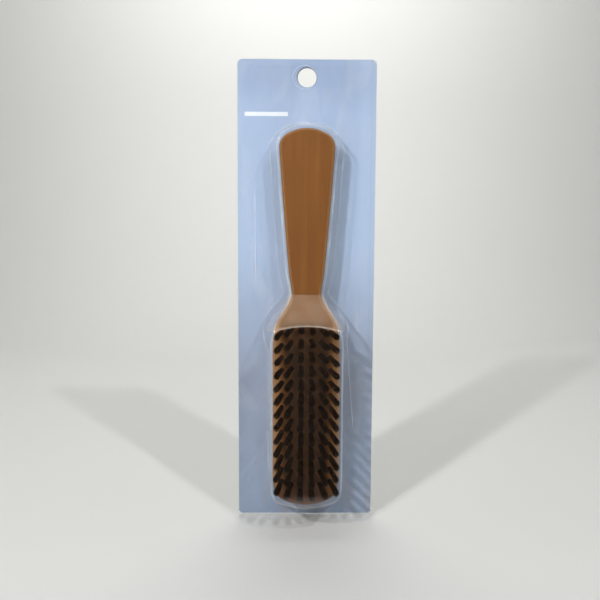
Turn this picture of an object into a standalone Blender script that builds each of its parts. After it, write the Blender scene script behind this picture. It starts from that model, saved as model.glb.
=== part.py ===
"""Fade brush in its retail pack: a one-piece brush, the backing card behind it and the clear
slide blister that holds both.

Frame: +X across the pack, +Z up the pack, -Y out of the printed face. The origin is the centre
of the card's hang hole, on the card's front face. Metres.
"""

import math

import bmesh
import bpy
from mathutils import Matrix, Vector

MM = 0.001
GAP = 0.3 * MM  # clearance between neighbouring pieces

# Pack
PACK_WIDTH = 76.2 * MM
PACK_HEIGHT = 254.0 * MM
HOLE_DROP = 9.6 * MM  # hang hole's centre below the pack's top edge
CORNER_RADIUS = 3.2 * MM
CORNER_STEPS = 3  # straight pieces in each rounded corner
CIRCLE_SIDES = 24
FILM = 0.4 * MM

# Backing card
CARD_THICKNESS = 0.6 * MM
CARD_HOLE_RADIUS = 5.15 * MM

# Blister film
FILM_HOLE_RADIUS = 6.2 * MM
FILM_HOLE_SHIFT = -1.4 * MM  # the film's hole is punched a little left of the card's
RAIL_REACH = 8.0 * MM  # how far the folded edges lap behind the card
FOLD_RELIEF = 1.5 * MM  # cut-back between the bottom fold and the side folds
HANDLE_DOME = 15.9 * MM  # blister height over the handle
HEAD_DOME = 31.5 * MM  # blister height over the bristles
RAMP_TOP_Z = -117.2 * MM  # where the slope up to the tall dome begins
RAMP_FOOT_Z = -131.8 * MM  # where the slope ends, on the centre line
RAMP_BOW = 2.8 * MM  # how much lower the slope ends at the dome's sides
FOOT_Z = -242.2 * MM  # where the end wall meets the flange
DOME_END_Z = -226.8 * MM  # where the end wall meets the dome's top
DOME_BEND = 1.0 * MM  # bevel between the dome's walls and its top
TOP_AT_HANDLE = 1.6 * MM  # the dome's top edge, outside the brush's outline
BASE_AT_HANDLE = 5.2 * MM  # the dome's base, outside the brush's outline
TOP_AT_HEAD = 0.7 * MM
BASE_AT_HEAD = 2.6 * MM
SHOULDER_SWELL = 3.4 * MM  # how much wider the base is at the dome's shoulders
SHOULDER_TOP_Z = -117.0 * MM  # where the swell begins
SHOULDER_SPAN = 33.0 * MM  # and how far down it goes
HANDLE_END_Z = -106.0 * MM  # the dome's walls have the handle's offsets down to here
HEAD_START_Z = -150.0 * MM  # and the head's offsets from here
END_START_Z = -212.0 * MM  # the dome's contours are stretched to the end wall from here
DOME_BACK_Y = -0.4 * MM  # the dome's solid starts inside the flange
DOME_HOLLOW_Y = -0.05 * MM  # its hollow starts behind the flange
CAP_STEPS = 4  # pieces across the dome's top
CORNER_MARGIN = 0.02 * MM  # the corners' cutter stands this far outside the flat edges

# Brush body
BODY_THICKNESS = 13.5 * MM
RIM_CHAMFER = 1.3 * MM
HEAD_HALF_WIDTH = 18.0 * MM
# Rounded back: inset from the outline, depth from the back's flat.
BACK_PROFILE = [(6.0, 0.0), (2.6, 1.4), (0.6, 4.2), (0.0, 7.0)]
TIP_WIDTH = 6.0 * MM  # near the axis a ring is inset by no more than half of this
# Half outline of the brush from the butt's end to the head's end: half-width, height.
BRUSH_OUTLINE = [
    (0.0, -29.2), (4.0, -29.6), (7.6, -30.7), (11.0, -32.4), (13.4, -34.6), (14.6, -37.4),
    (14.7, -41.0), (13.9, -52.0), (12.7, -68.0), (11.1, -88.0), (9.4, -106.0), (8.1, -114.5),
    (8.1, -118.5), (9.6, -122.4), (12.2, -126.6), (15.0, -131.0), (17.0, -136.4),
    (18.0, -144.0), (18.0, -165.0), (18.0, -190.0), (18.0, -212.0), (17.8, -220.0),
    (17.0, -225.0), (15.2, -228.6), (11.6, -230.9), (6.0, -232.7), (0.0, -233.4),
]

# Bristle tufts
TUFT_ROWS = 13
TUFT_COLUMNS = 6
COLUMN_PITCH = 5.3 * MM
MIDDLE_COLUMN_Z = (-134.5 * MM, -222.3 * MM)  # first and last tuft on the centre line
EDGE_COLUMN_Z = (-137.3 * MM, -219.2 * MM)  # first and last tuft of an outer column
TUFT_LENGTH = 16.0 * MM  # free length above the wood
TUFT_FLARES = (0.03, 0.15, 0.16)  # outward lean as a slope, from the middle columns outwards
TUFT_DROOP = 0.04  # lean towards the head's end, as a slope
TUFT_BASE_RADIUS = 1.0 * MM
TUFT_TIP_RADIUS = 1.4 * MM
TUFT_SIDES = 6
HOLE_RADIUS = 1.5 * MM
HOLE_SIDES = 8
HOLE_DEPTH = 8.0 * MM
CHANNEL_HEIGHT = 1.9 * MM  # cross channel that joins the bottoms of a row's holes
CHANNEL_WIDTH = 2.0 * MM
CHANNEL_PAST_END = 0.8 * MM  # how far it runs past the outer tufts
ROOT_HEIGHT = 0.5 * MM  # strip that joins a row's tufts at their roots
ROOT_WIDTH = 1.0 * MM
ANCHOR_HEIGHT = 0.45 * MM
ANCHOR_WIDTH = 1.0 * MM
STRIP_PAST_END = 0.2 * MM  # how far the roots' and anchors' strips run past the outer tufts

# Colours: linear RGB, roughness, metallic
WOOD = ((0.33, 0.13, 0.04), 0.5, 0.0)
BRISTLE = ((0.02, 0.012, 0.008), 0.55, 0.0)
STEEL = ((0.6, 0.6, 0.58), 0.35, 1.0)
CARD = ((0.40, 0.53, 0.74), 0.6, 0.0)
FILM_TINT = ((0.9, 0.94, 0.97), 0.08, 0.0)
FILM_ALPHA = 0.3

BODY_BACK = -GAP
BODY_FRONT = BODY_BACK - BODY_THICKNESS
CHANNEL_BACK = BODY_FRONT + HOLE_DEPTH
ANCHOR_BACK = CHANNEL_BACK - GAP
ROOT_BACK = ANCHOR_BACK - ANCHOR_HEIGHT - GAP
TOP_Z = HOLE_DROP
BOTTOM_Z = HOLE_DROP - PACK_HEIGHT
HEAD_END_Z = BRUSH_OUTLINE[-1][1] * MM


def clear_scene():
    for old in list(bpy.data.objects):
        bpy.data.objects.remove(old)


def new_collection(name):
    collection = bpy.data.collections.new(name)
    bpy.context.scene.collection.children.link(collection)
    return collection


def new_material(name, look, alpha=1.0):
    colour, roughness, metallic = look
    material = bpy.data.materials.new(name)
    material.use_nodes = True
    shader = material.node_tree.nodes["Principled BSDF"]
    shader.inputs["Base Color"].default_value = (*colour, 1.0)
    shader.inputs["Roughness"].default_value = roughness
    shader.inputs["Metallic"].default_value = metallic
    shader.inputs["Alpha"].default_value = alpha
    material.diffuse_color = (*colour, alpha)
    return material


def add_mesh(name, mesh, collection, material=None):
    """A new object in a collection."""
    piece = bpy.data.objects.new(name, mesh)
    collection.objects.link(piece)
    if material is not None:
        mesh.materials.append(material)
    return piece


def as_cutter(piece):
    piece.hide_render = True
    piece.display_type = "WIRE"
    return piece


def boolean(piece, operation, other):
    modifier = piece.modifiers.new(operation.lower() + "_" + other.name, "BOOLEAN")
    modifier.operation = operation
    modifier.solver = "EXACT"
    modifier.object = other


def skin(bm, rings):
    """Faces between rings of equal point counts, and a cap on the first. Gives the last ring."""
    loops = [[bm.verts.new(point) for point in ring] for ring in rings]
    count = len(rings[0])
    for lower, upper in zip(loops, loops[1:]):
        for i in range(count):
            j = (i + 1) % count
            bm.faces.new((lower[i], lower[j], upper[j], upper[i]))
    bm.faces.new(reversed(loops[0]))
    return loops[-1]


def loft(name, rings):
    """A closed solid through rings, with a flat cap at each end."""
    bm = bmesh.new()
    bm.faces.new(skin(bm, rings))
    return finish_mesh(name, bm)


def ladder_loft(name, rings, height):
    """A closed solid whose last ring isn't flat. Its cap is rows across the axis, CAP_STEPS wide,
    which lie at the height that height(x, z) gives."""
    bm = bmesh.new()
    last = skin(bm, rings)
    count = len(last)
    rows = [[last[0]]]
    for i in range(1, count // 2):
        right, left = last[i], last[count - i]
        row = [right]
        for k in range(1, CAP_STEPS):
            x = right.co.x * (1 - 2 * k / CAP_STEPS)
            row.append(bm.verts.new((x, -height(x, right.co.z), right.co.z)))
        rows.append(row + [left])
    rows.append([last[count // 2]])
    for upper, lower in zip(rows, rows[1:]):
        for k in range(CAP_STEPS):
            corners = upper[k:k + 2] + lower[k:k + 2][::-1]
            if len(upper) == 1:
                corners = [upper[0], lower[k + 1], lower[k]]
            if len(lower) == 1:
                corners = [upper[k], upper[k + 1], lower[0]]
            bm.faces.new(corners)
    bmesh.ops.triangulate(bm, faces=bm.faces)
    return finish_mesh(name, bm)


def finish_mesh(name, bm):
    bmesh.ops.recalc_face_normals(bm, faces=bm.faces)
    mesh = bpy.data.meshes.new(name)
    bm.to_mesh(mesh)
    bm.free()
    mesh.shade_smooth()
    mesh.set_sharp_from_angle(angle=math.radians(35))
    return mesh


def half_outline():
    """Points of the brush's half outline with their outward normals, from butt to head end."""
    points = [Vector((x * MM, z * MM)) for x, z in BRUSH_OUTLINE]
    before = [Vector((-points[1].x, points[1].y))] + points[:-1]
    after = points[1:] + [Vector((-points[-2].x, points[-2].y))]
    normals = []
    for a, b in zip(before, after):
        along = (b - a).normalized()
        normals.append(Vector((-along.y, along.x)))
    normals[0] = Vector((0.0, 1.0))
    normals[-1] = Vector((0.0, -1.0))
    return list(zip(points, normals))


def whole_ring(half):
    """A closed ring from the half that lies at +X; the first and last points are on the axis."""
    return half + [Vector((-p.x, p.y, p.z)) for p in reversed(half[1:-1])]


def body_ring(inset, y):
    """The brush's outline moved inwards, by less near the axis so that it never crosses it."""
    half = []
    for point, normal in half_outline():
        shift = min(inset, max(point.x, TIP_WIDTH) / 2)
        moved = point - normal * shift
        half.append(Vector((max(moved.x, 0.0), y, moved.y)))
    return whole_ring(half)


def tuft_base(row, column):
    """Where a tuft leaves the wood, and its direction."""
    off_centre = column - (TUFT_COLUMNS - 1) / 2
    share = (off_centre / (TUFT_COLUMNS - 1) * 2) ** 2
    first, last = [a + (b - a) * share for a, b in zip(MIDDLE_COLUMN_Z, EDGE_COLUMN_Z)]
    x = off_centre * COLUMN_PITCH
    z = first + (last - first) * row / (TUFT_ROWS - 1)
    flare = math.copysign(TUFT_FLARES[int(abs(off_centre))], off_centre)
    direction = Vector((flare, -1.0, -TUFT_DROOP)).normalized()
    return Vector((x, BODY_FRONT, z)), direction


def cone_into(bm, start, direction, length, radius_start, radius_end, sides):
    """A frustum from a start point along a direction."""
    turn = direction.to_track_quat("Z", "Y").to_matrix().to_4x4()
    place = Matrix.Translation(start + direction * length / 2) @ turn
    bmesh.ops.create_cone(bm, cap_ends=True, segments=sides, radius1=radius_start,
                          radius2=radius_end, depth=length, matrix=place)


def row_strip(name, row, y_back, height, width, past_end):
    """A square strip at one depth that runs under the six tufts of a row."""
    centres = []
    for column in range(TUFT_COLUMNS):
        base, direction = tuft_base(row, column)
        depth = y_back - height / 2
        centres.append(base + direction * (depth - base.y) / direction.y)
    centres[0] = centres[0] + (centres[0] - centres[1]).normalized() * past_end
    centres[-1] = centres[-1] + (centres[-1] - centres[-2]).normalized() * past_end
    rings = []
    for centre in centres:
        rings.append([centre + Vector((0.0, dy * height / 2, dz * width / 2))
                      for dy, dz in ((-1, -1), (1, -1), (1, 1), (-1, 1))])
    return loft(name, rings)


def holes_mesh():
    bm = bmesh.new()
    for row in range(TUFT_ROWS):
        for column in range(TUFT_COLUMNS):
            base, direction = tuft_base(row, column)
            depth = (HOLE_DEPTH - CHANNEL_HEIGHT / 2) / -direction.y
            start = base - direction * depth
            cone_into(bm, start, direction, depth + 1.0 * MM, HOLE_RADIUS, HOLE_RADIUS, HOLE_SIDES)
    return finish_mesh("tuft_holes", bm)


def make_brush_body(parts, cutters):
    """The one-piece wooden body: flat chamfered face, rounded back, drilled for its tufts."""
    rings = [body_ring(inset * MM, BODY_BACK - depth * MM) for inset, depth in BACK_PROFILE]
    rings.append(body_ring(0.0, BODY_FRONT + RIM_CHAMFER))
    rings.append(body_ring(RIM_CHAMFER, BODY_FRONT))
    wood = new_material("stained_wood", WOOD)
    body = add_mesh("brush_body", loft("brush_body", rings), parts, wood)
    holes = as_cutter(add_mesh("tuft_holes", holes_mesh(), cutters))
    boolean(body, "DIFFERENCE", holes)
    for row in range(TUFT_ROWS):
        name = f"root_channel_{row + 1:02d}"
        mesh = row_strip(name, row, CHANNEL_BACK, CHANNEL_HEIGHT, CHANNEL_WIDTH, CHANNEL_PAST_END)
        boolean(body, "DIFFERENCE", as_cutter(add_mesh(name, mesh, cutters)))
    return body


def tufts_mesh(name, row):
    """The six flared tufts of a row, each a frustum that starts inside the root strip."""
    bm = bmesh.new()
    for column in range(TUFT_COLUMNS):
        base, direction = tuft_base(row, column)
        root = (ROOT_BACK - ROOT_HEIGHT / 2 - base.y) / direction.y
        start = base + direction * root
        length = TUFT_LENGTH - root
        cone_into(bm, start, direction, length, TUFT_BASE_RADIUS, TUFT_TIP_RADIUS, TUFT_SIDES)
    return finish_mesh(name, bm)


def make_tuft_row(row, parts, cutters, material):
    name = f"tuft_row_{row + 1:02d}"
    strip = row_strip(name, row, ROOT_BACK, ROOT_HEIGHT, ROOT_WIDTH, STRIP_PAST_END)
    tuft_row = add_mesh(name, strip, parts, material)
    name = f"tufts_{row + 1:02d}"
    tufts = as_cutter(add_mesh(name, tufts_mesh(name, row), cutters))
    boolean(tuft_row, "UNION", tufts)


def make_anchor_row(row, parts, material):
    name = f"anchor_row_{row + 1:02d}"
    strip = row_strip(name, row, ANCHOR_BACK, ANCHOR_HEIGHT, ANCHOR_WIDTH, STRIP_PAST_END)
    add_mesh(name, strip, parts, material)


def rounded_rectangle(curve, half_width, low_z, high_z, radius):
    """A rounded rectangle as a closed spline in the curve's own XY plane."""
    corners = [(1, high_z, 0), (-1, high_z, 90), (-1, low_z, 180), (1, low_z, 270)]
    points = []
    for side, z, start in corners:
        centre_x = side * (half_width - radius)
        centre_z = z - radius if z == high_z else z + radius
        for k in range(CORNER_STEPS + 1):
            angle = math.radians(start + 90 * k / CORNER_STEPS)
            points.append((centre_x + radius * math.cos(angle), centre_z + radius * math.sin(angle)))
    add_spline(curve, points)


def circle(curve, radius):
    turns = [2 * math.pi * k / CIRCLE_SIDES for k in range(CIRCLE_SIDES)]
    add_spline(curve, [(radius * math.cos(t), radius * math.sin(t)) for t in turns])


def add_spline(curve, points):
    spline = curve.splines.new("POLY")
    spline.points.add(len(points) - 1)
    for slot, (x, y) in zip(spline.points, points):
        slot.co = (x, y, 0.0, 1.0)
    spline.use_cyclic_u = True


def flat_curve(name, thickness):
    curve = bpy.data.curves.new(name, "CURVE")
    curve.dimensions = "2D"
    curve.fill_mode = "BOTH"
    curve.extrude = thickness / 2
    return curve


def place_upright(piece, y):
    """Turns a curve drawn in XY to face -Y, with its middle at the given depth."""
    piece.rotation_euler = (math.radians(90), 0.0, 0.0)
    piece.location = (0.0, y, 0.0)
    return piece


def mesh_from_curve(piece, collection):
    """Replaces a curve object by a mesh with welded caps, so that it can take a Boolean."""
    bpy.context.view_layer.update()
    evaluated = piece.evaluated_get(bpy.context.evaluated_depsgraph_get())
    mesh = bpy.data.meshes.new_from_object(evaluated)
    bm = bmesh.new()
    bm.from_mesh(mesh)
    bmesh.ops.remove_doubles(bm, verts=bm.verts, dist=0.01 * MM)
    bm.to_mesh(mesh)
    bm.free()
    solid = bpy.data.objects.new(piece.name + "_solid", mesh)
    solid.matrix_world = piece.matrix_world
    collection.objects.link(solid)
    bpy.data.objects.remove(piece)
    return solid


def make_backing_card(parts):
    """The printed card: a rounded sheet with the hang hole."""
    inner = FILM + GAP
    curve = flat_curve("backing_card", CARD_THICKNESS)
    rounded_rectangle(curve, PACK_WIDTH / 2 - inner, BOTTOM_Z + inner, TOP_Z, CORNER_RADIUS - inner)
    circle(curve, CARD_HOLE_RADIUS)
    card = bpy.data.objects.new("backing_card", curve)
    parts.objects.link(card)
    curve.materials.append(new_material("printed_board", CARD))
    return place_upright(card, CARD_THICKNESS / 2)


def within_one(share):
    return min(max(share, 0.0), 1.0)


def dome_height(x, z):
    """The dome's height at a point of its top: low over the handle, tall over the bristles."""
    bow = RAMP_BOW * (x / HEAD_HALF_WIDTH) ** 2
    share = (RAMP_TOP_Z - z) / (RAMP_TOP_Z - RAMP_FOOT_Z + bow)
    return HANDLE_DOME + (HEAD_DOME - HANDLE_DOME) * within_one(share)


def dome_point(point, normal, handle_growth, head_growth, end_z):
    """A point of the brush's outline moved out to a contour of the dome. Below END_START_Z the
    contour is stretched along Z instead, so that it ends at end_z."""
    if point.y > HEAD_START_Z:
        share = within_one((HANDLE_END_Z - point.y) / (HANDLE_END_Z - HEAD_START_Z))
        return point + normal * (handle_growth + (head_growth - handle_growth) * share)
    z = point.y
    if z < END_START_Z:
        z = END_START_Z + (z - END_START_Z) * (END_START_Z - end_z) / (END_START_Z - HEAD_END_Z)
    return Vector((point.x * (1 + head_growth / HEAD_HALF_WIDTH), z))


def dome_mesh(name, shrink, back):
    """A closed solid of the dome: its base, leaning walls, bevelled edge and top. A positive
    shrink moves every surface inwards by the film's thickness."""
    base = []
    edge = []
    top = []
    for point, normal in half_outline():
        shoulder = math.sin(math.pi * within_one((SHOULDER_TOP_Z - point.y) / SHOULDER_SPAN))
        swell = SHOULDER_SWELL * shoulder * min(1.0, point.x / HEAD_HALF_WIDTH)
        wide = dome_point(point, normal, BASE_AT_HANDLE - shrink, BASE_AT_HEAD - shrink,
                          FOOT_Z + shrink) + normal * swell
        narrow = dome_point(point, normal, TOP_AT_HANDLE - shrink, TOP_AT_HEAD - shrink,
                            DOME_END_Z + shrink)
        inset = shrink + DOME_BEND
        flat = dome_point(point, normal, TOP_AT_HANDLE - inset, TOP_AT_HEAD - inset,
                          DOME_END_Z + inset)
        height = dome_height(narrow.x, narrow.y) - shrink
        base.append(Vector((wide.x, back, wide.y)))
        edge.append(Vector((narrow.x, -(height - DOME_BEND), narrow.y)))
        top.append(Vector((max(flat.x, 0.0), -height, flat.y)))

    def top_height(x, z):
        return dome_height(x, z) - shrink

    return ladder_loft(name, [whole_ring(base), whole_ring(edge), whole_ring(top)], top_height)


def folded_sheet_mesh():
    """The blister's flange with its two long edges folded behind the card, as one C section."""
    half = PACK_WIDTH / 2
    front = -(GAP + FILM)
    rear = CARD_THICKNESS + GAP + FILM
    lip = half - RAIL_REACH
    section = [(-lip, rear), (-half, rear), (-half, front), (half, front), (half, rear), (lip, rear),
               (lip, rear - FILM), (half - FILM, rear - FILM), (half - FILM, front + FILM),
               (-half + FILM, front + FILM), (-half + FILM, rear - FILM), (-lip, rear - FILM)]
    rings = [[Vector((x, y, z)) for x, y in section] for z in (BOTTOM_Z, TOP_Z)]
    return loft("blister_shell", rings)


def bottom_fold_mesh():
    """The bottom edge, folded behind the card between the two side folds."""
    half = PACK_WIDTH / 2 - RAIL_REACH - FOLD_RELIEF
    front = -(GAP + FILM)
    rear = CARD_THICKNESS + GAP + FILM
    section = [(front, BOTTOM_Z), (rear, BOTTOM_Z), (rear, BOTTOM_Z + RAIL_REACH),
               (rear - FILM, BOTTOM_Z + RAIL_REACH), (rear - FILM, BOTTOM_Z + FILM),
               (front, BOTTOM_Z + FILM)]
    rings = [[Vector((x, y, z)) for y, z in section] for x in (-half, half)]
    return loft("bottom_fold", rings)


def corner_limit(cutters):
    """A thick rounded rectangle that leaves the pack's corners round."""
    curve = flat_curve("corner_limit", 3 * HEAD_DOME)
    rounded_rectangle(curve, PACK_WIDTH / 2 + CORNER_MARGIN, BOTTOM_Z - CORNER_MARGIN,
                      TOP_Z + CORNER_MARGIN, CORNER_RADIUS)
    outline = bpy.data.objects.new("corner_limit", curve)
    cutters.objects.link(outline)
    return as_cutter(mesh_from_curve(place_upright(outline, 0.0), cutters))


def film_hole_mesh():
    bm = bmesh.new()
    start = Vector((FILM_HOLE_SHIFT, CARD_THICKNESS / 2, 0.0))
    length = CARD_THICKNESS + 2 * (GAP + FILM)
    forward = Vector((0.0, -1.0, 0.0))
    cone_into(bm, start, forward, length, FILM_HOLE_RADIUS, FILM_HOLE_RADIUS, CIRCLE_SIDES)
    return finish_mesh("film_hole", bm)


def make_blister_shell(parts, cutters):
    """The clear shell: folded flange, domes over handle and bristles, open at the back and top."""
    film = new_material("clear_film", FILM_TINT, FILM_ALPHA)
    shell = add_mesh("blister_shell", folded_sheet_mesh(), parts, film)
    outer = dome_mesh("dome_outer", 0.0, DOME_BACK_Y)
    inner = dome_mesh("dome_inner", FILM, DOME_HOLLOW_Y)
    boolean(shell, "UNION", as_cutter(add_mesh("bottom_fold", bottom_fold_mesh(), cutters)))
    boolean(shell, "UNION", as_cutter(add_mesh("dome_outer", outer, cutters)))
    boolean(shell, "DIFFERENCE", as_cutter(add_mesh("dome_inner", inner, cutters)))
    boolean(shell, "INTERSECT", corner_limit(cutters))
    boolean(shell, "DIFFERENCE", as_cutter(add_mesh("film_hole", film_hole_mesh(), cutters)))


def main():
    clear_scene()
    parts = new_collection("packed_fade_brush")
    cutters = new_collection("cutters")
    make_backing_card(parts)
    make_blister_shell(parts, cutters)
    make_brush_body(parts, cutters)
    bristle = new_material("dark_bristle", BRISTLE)
    steel = new_material("anchor_steel", STEEL)
    for row in range(TUFT_ROWS):
        make_tuft_row(row, parts, cutters, bristle)
        make_anchor_row(row, parts, steel)


main()
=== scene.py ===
"""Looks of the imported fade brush: printed card, clear blister, stained wood and bristle tufts."""

import math

import bmesh
import bpy
import numpy as np
from mathutils import Matrix, Vector


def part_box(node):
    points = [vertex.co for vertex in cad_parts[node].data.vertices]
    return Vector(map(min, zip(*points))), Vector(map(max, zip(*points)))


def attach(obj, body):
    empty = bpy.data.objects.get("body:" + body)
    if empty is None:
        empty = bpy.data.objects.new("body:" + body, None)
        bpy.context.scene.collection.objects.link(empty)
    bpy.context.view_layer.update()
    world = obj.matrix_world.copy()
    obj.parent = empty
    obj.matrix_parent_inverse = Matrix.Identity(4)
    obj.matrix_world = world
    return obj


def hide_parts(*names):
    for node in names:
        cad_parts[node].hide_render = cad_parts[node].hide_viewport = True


MM = 0.001
SEED = 11

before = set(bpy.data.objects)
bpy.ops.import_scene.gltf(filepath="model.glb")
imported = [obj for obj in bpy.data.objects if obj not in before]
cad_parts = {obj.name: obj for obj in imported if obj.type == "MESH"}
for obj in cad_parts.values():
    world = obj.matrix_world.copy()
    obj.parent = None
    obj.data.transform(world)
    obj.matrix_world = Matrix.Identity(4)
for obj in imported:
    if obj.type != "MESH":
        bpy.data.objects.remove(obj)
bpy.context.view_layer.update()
shell_low, shell_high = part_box("blister_shell")
card_low, card_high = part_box("backing_card")
body_low, body_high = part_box("brush_body")
tips_low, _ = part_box("tuft_row_07")

# Blister film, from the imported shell's box
FILM = 0.25 * MM
FLANGE_Y = card_low.y - 0.7 * MM  # outer face of the flange
REAR_Y = shell_high.y
HALF_WIDTH = shell_high.x
TOP_Z = shell_high.z
BOTTOM_Z = shell_low.z
CORNER_RADIUS = 3.2 * MM
FOLD_RADIUS = 0.7 * MM
RAIL_REACH = 8.0 * MM
FOLD_RELIEF = 1.5 * MM
FILM_HOLE_RADIUS = 6.2 * MM
FILM_HOLE_SHIFT = -1.4 * MM
HOLE_MARGIN = 0.6 * MM  # the flange is meshed anew this far round the hole
HOLE_STEPS = 64
FOLD_STEPS = 8
NEAR = 0.01 * MM  # points this near a line or plane count as on it
BEND_HIGHLIGHT = 0.3  # share of painted highlight in the film round a tight bend
WALL_HIGHLIGHT = 0.08  # the walls, as a share of that
RIM_HAZE = 0.22  # share of white in the ring round the hang hole
SLOPE_REFLECTION = 0.115  # and painted reflection over the slope at the shoulder
END_REFLECTION = 0.06  # and painted reflection over the dome's end
END_REFLECTION_Z = (-220.0 * MM, -227.0 * MM)
SHEEN = 0.07  # share of white in the soft patches on the flange
# Painted reflection lines on the film
GLINT_WIDTH = 0.35 * MM
GLINT_WHITE = 0.3
GLINT_LINES = [  # x and z of the start, x and z of the end
    (-28.4 * MM, -56.0 * MM, -28.0 * MM, -112.0 * MM),
    (22.9 * MM, -141.0 * MM, 27.2 * MM, -196.0 * MM),
]
HANDLE_DOME = 15.9 * MM
HEAD_DOME = -shell_low.y
RAMP_TOP_Z = -117.2 * MM  # where the slope leaves the low dome, and where it meets the tall one
RAMP_FOOT_Z = -131.8 * MM
RAMP_BOW = 2.8 * MM
RAMP_BEND = 1.2 * MM
FOOT_Z = -242.2 * MM
DOME_END_Z = -226.8 * MM
BASE_FILLET = 1.0 * MM
DOME_BEND = 1.6 * MM
TOP_AT_HANDLE = 1.6 * MM  # the dome's top edge and base, outside the brush's outline
BASE_AT_HANDLE = 5.2 * MM
TOP_AT_HEAD = 0.7 * MM
BASE_AT_HEAD = 2.6 * MM
SHOULDER_SWELL = 3.4 * MM  # how much wider the base is at the shoulders
SHOULDER_TOP_Z = -117.0 * MM
SHOULDER_SPAN = 33.0 * MM
HANDLE_END_Z = -106.0 * MM
HEAD_START_Z = -150.0 * MM
END_START_Z = -212.0 * MM
FLANGE_STEPS = 3
WALL_STEPS = 6
TOP_STEPS = 10
BASE_BENDS = (0.0, 0.25, 0.55, 0.3, WALL_HIGHLIGHT)  # how much painted highlight lies over the base's bend
TOP_BENDS = (WALL_HIGHLIGHT, 0.3, 1.0, 0.3, 0.0)  # and over the top's

# Card
CARD_HOLE_RADIUS = 5.15 * MM
CARD_EDGE_ROUND = 0.06 * MM
CARD_CLEARANCE = 0.2 * MM  # keeps the card out of the rounded folds
CARD_HOLE_STEPS = 72
CORNER_STEPS = 10
FOOT_MARGIN = 0.9 * MM  # the white edge at the foot
RIGHT_BAND_X = (27.0 * MM, 31.0 * MM)
FOLD_LINE_X = 35.3 * MM
FOLD_LINE_HALF_WIDTH = 0.12 * MM
# A plain white bar stands where the card carries a printed word: x and z.
BAR_CENTRE = Vector((-22.2 * MM, -19.4 * MM))
BAR_SIZE = Vector((23.6 * MM, 2.2 * MM))

# Brush
HEAD_HALF_WIDTH = body_high.x
HEAD_END_Z = body_low.z
RIM_CHAMFER = 1.3 * MM
RIM_SIDE = 2.5 * MM  # the straight side above the chamfer
BODY_BEVEL = 0.35 * MM
BACK_ROUND = 7.0 * MM
BACK_STEPS = 8
TIP_WIDTH = 6.0 * MM  # near the axis a ring is inset by no more than half of this
# Half outline of the brush from the butt's end to the head's end: half-width, height.
BRUSH_OUTLINE = [
    (0.0, -29.2), (4.0, -29.6), (7.6, -30.7), (11.0, -32.4), (13.4, -34.6), (14.6, -37.4),
    (14.7, -41.0), (13.9, -52.0), (12.7, -68.0), (11.1, -88.0), (9.4, -106.0), (8.1, -114.5),
    (8.1, -118.5), (9.6, -122.4), (12.2, -126.6), (15.0, -131.0), (17.0, -136.4),
    (18.0, -144.0), (18.0, -165.0), (18.0, -190.0), (18.0, -212.0), (17.8, -220.0),
    (17.0, -225.0), (15.2, -228.6), (11.6, -230.9), (6.0, -232.7), (0.0, -233.4),
]
OUTLINE_STEPS = 6
PLANTED_START_Z = (-131.0 * MM, -134.5 * MM)  # where the tufted face starts
PLANTED_END_Z = (-230.0 * MM, -224.0 * MM)
BETWEEN_X = (14.2 * MM, 10.5 * MM)  # where painted shade darkens the wood between the tufts
BESIDE_X = (13.4 * MM, 15.2 * MM)  # and painted light makes the wood beside them paler
TAIL_Z = (-217.0 * MM, -227.0 * MM)  # where the head's end darkens
SHARP_ANGLE = math.radians(40)
FILM_SHARP_ANGLE = math.radians(50)

# Tufts
TUFT_ROWS = 13
TUFT_COLUMNS = 6
COLUMN_PITCH = 5.3 * MM
MIDDLE_COLUMN_Z = (-134.5 * MM, -222.3 * MM)
EDGE_COLUMN_Z = (-137.3 * MM, -219.2 * MM)
TUFT_LENGTH = 16.0 * MM
TUFT_FLARES = (0.03, 0.15, 0.16)  # outward lean as a slope, from the middle columns outwards
TUFT_DROOP = 0.04  # lean towards the head's end, as a slope
TUFT_HOLE_RADIUS = 1.35 * MM
TUFT_HOLE_DEPTH = 2.5 * MM
TUFT_HOLE_SIDES = 20
DRILL_EXTRA = 1 * MM  # the cutter stands this far out of the wood
FIBRES_PER_TUFT = 120
FIBRE_RADIUS = 0.1 * MM
FIBRE_SIDES = 4
FIBRE_SEGMENTS = 4
BUNDLE_ROOT_RADIUS = 1.15 * MM
BUNDLE_TIP_RADIUS = 1.6 * MM
BUNDLE_SINK = 2.0 * MM
STRAY_SHARE = 0.035  # share of bristles that stray from their tuft
LOOSE_SHARE = 0.12  # in the last row, the most ruffled
DISC_NUDGE = 0.05  # scatter of the bristles' places, as a share of the tuft's radius
# Scatter of the tufts and bristles, as deviations in millimetres
TUFT_LEAN = 0.022
FIBRE_SPREAD = 0.06
STRAY_SPREAD = 0.24
FIBRE_BOW = 0.10
STRAY_BOW_TIMES = 3
LENGTH_CHANGE = (-0.2, 0.22)  # mean and deviation
FIBRE_TAPER = ([0, 0.7, 1], [1, 0.95, 0.7])  # share of the length, share of the radius
WIDEST_BRISTLE = 17.4 * MM  # no bristle reaches further out, or the film would touch it
LONGEST_EXTRA = 0.3 * MM

# Camera, as it stood to the card: metres and degrees, and its lens in millimetres
CAMERA_PLACE = Vector((-6.6, -322.7, -95.2)) * MM
CAMERA_PITCH = -4.55
CAMERA_YAW = -0.56
CAMERA_ROLL = 0.27
CAMERA_LENS = 34.8
CAMERA_SENSOR = 36.0
CAMERA_CLIP = 0.01

# Stage, in metres
STAGE_BACK = 1.0
STAGE_REACH = 2.4
STAGE_BEND = 0.5
STAGE_HEIGHT = 1.8
STAGE_DROP = 0.2 * MM  # the floor lies this far under the pack's foot
STAGE_TURNS = 96
STAGE_CURVE = 12
STAGE_ROUNDNESS = 8  # how squarely the wall behind meets the wall round it

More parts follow.
